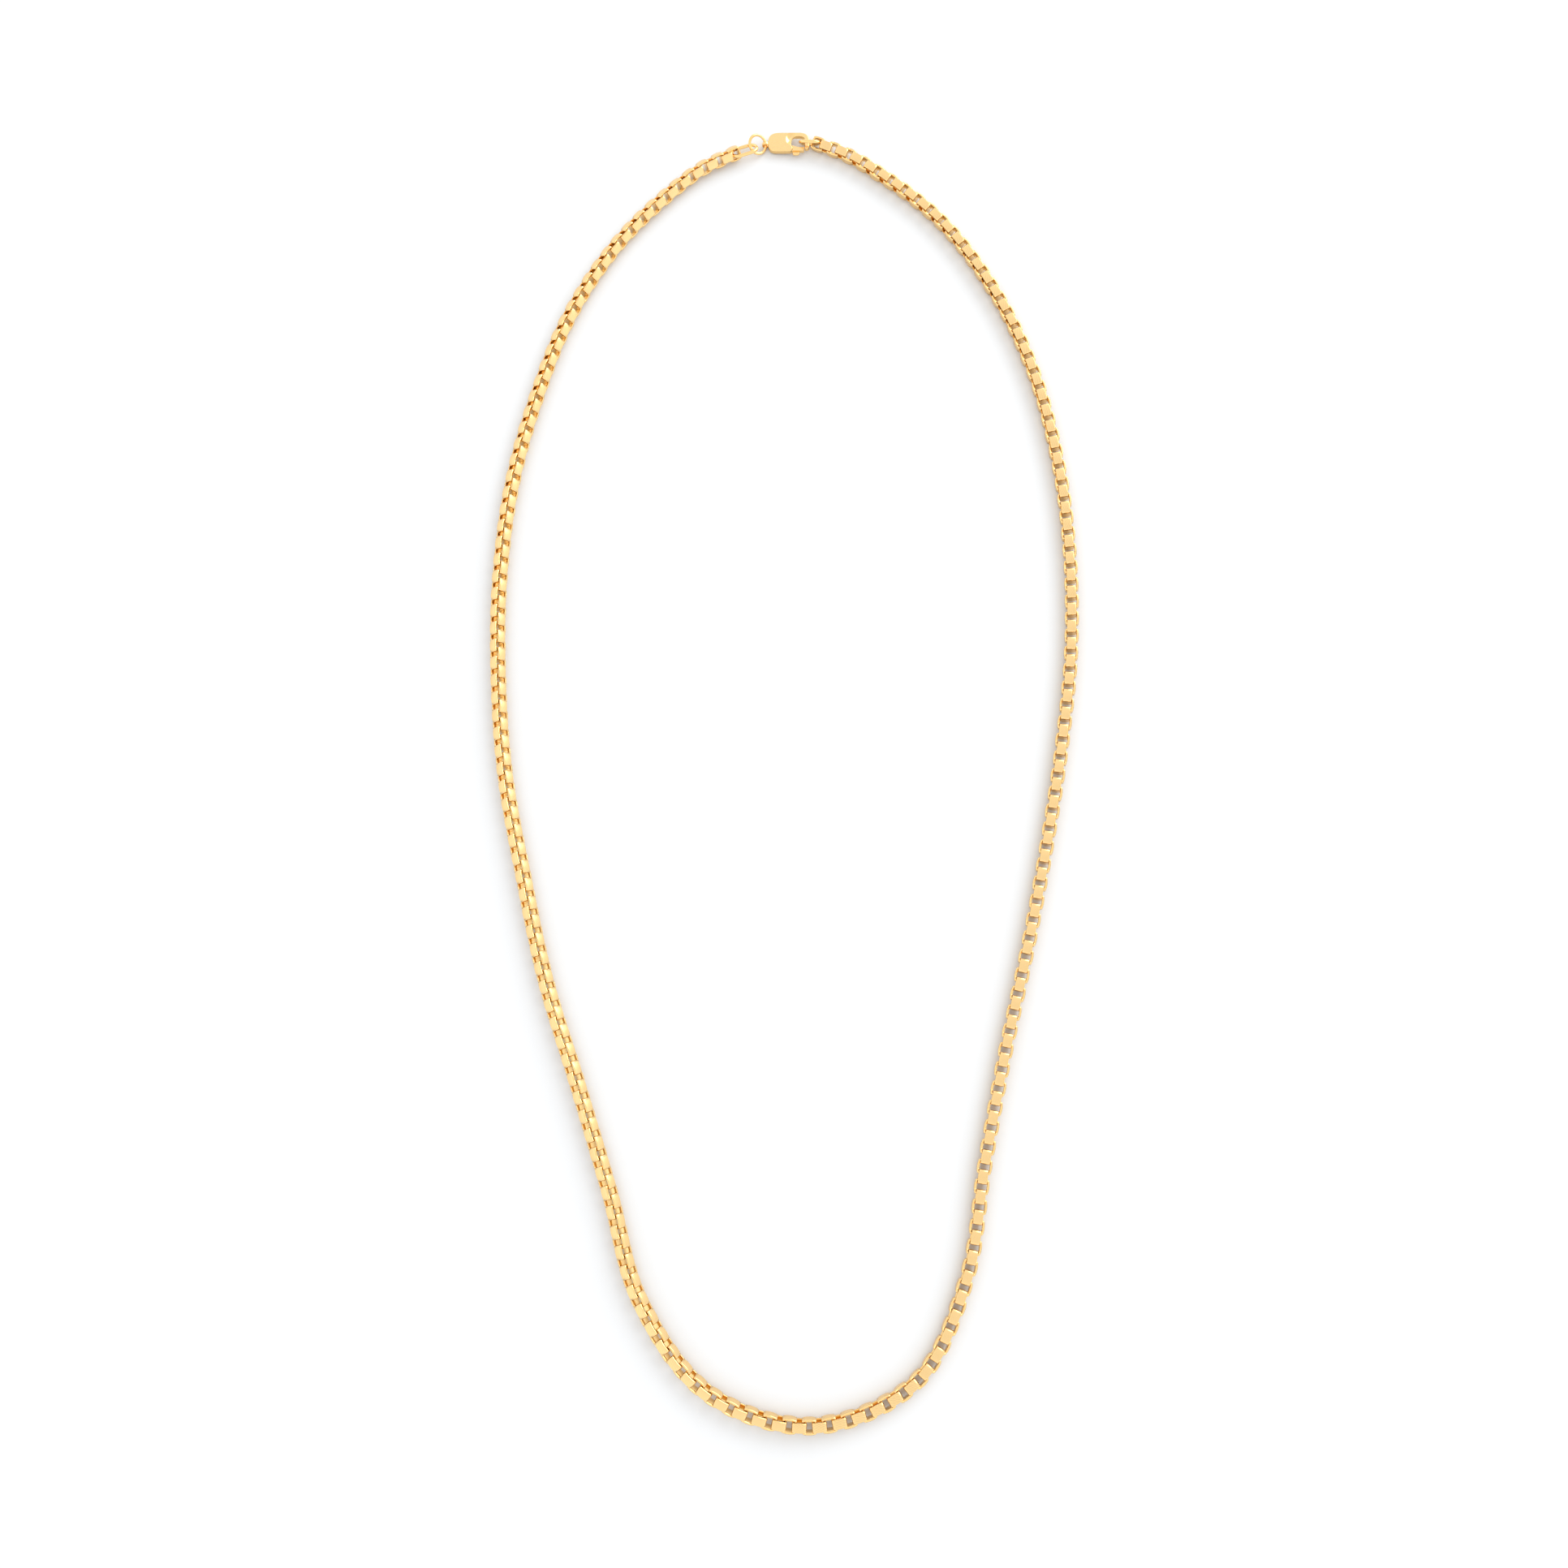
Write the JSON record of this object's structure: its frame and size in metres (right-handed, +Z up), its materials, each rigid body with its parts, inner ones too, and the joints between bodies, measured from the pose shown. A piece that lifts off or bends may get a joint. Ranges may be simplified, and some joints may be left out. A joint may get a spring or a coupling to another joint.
{
  "type": "box chain",
  "caption": "Box chain necklace in yellow gold, closed with a lobster clasp whose sprung lever shuts its hook on an oval ring, lying as a long loop on a flat surface.",
  "frame": {"origin": "on the surface that the necklace lies on, at the middle of its outline", "axes": "+X to the right with the clasp at the far end, +Y from the bottom of the loop to the clasp, +Z up from the surface"},
  "size_m": [0.1085, 0.2408, 0.0031],
  "materials": {
    "chain_gold": "polished edges and satin faces, warm yellow gold",
    "ring_gold": "polished yellow gold wire",
    "clasp_gold": "softly brushed faces with polished edges, yellow gold",
    "pin_gold": "plain yellow gold"
  },
  "bodies": {
    "necklace": {"chain": "chain_gold", "right_end_link": "chain_gold", "left_end_link": "chain_gold", "right_oval_ring": "ring_gold", "left_oval_ring": "ring_gold", "jump_ring": "ring_gold", "clasp_body": "clasp_gold", "clasp_pin": "pin_gold"},
    "lever": {"clasp_lever": "clasp_gold"}
  },
  "joints": [
    {"name": "lever_hinge", "type": "hinge", "parent": "necklace", "child": "lever", "pos_m": [0.00104, 0.11694, 0.00103], "axis": [-0.0701, 0.0031, 0.9975], "range_deg": [0, 14], "stiffness_Nm_per_rad": 0.002}
  ]
}
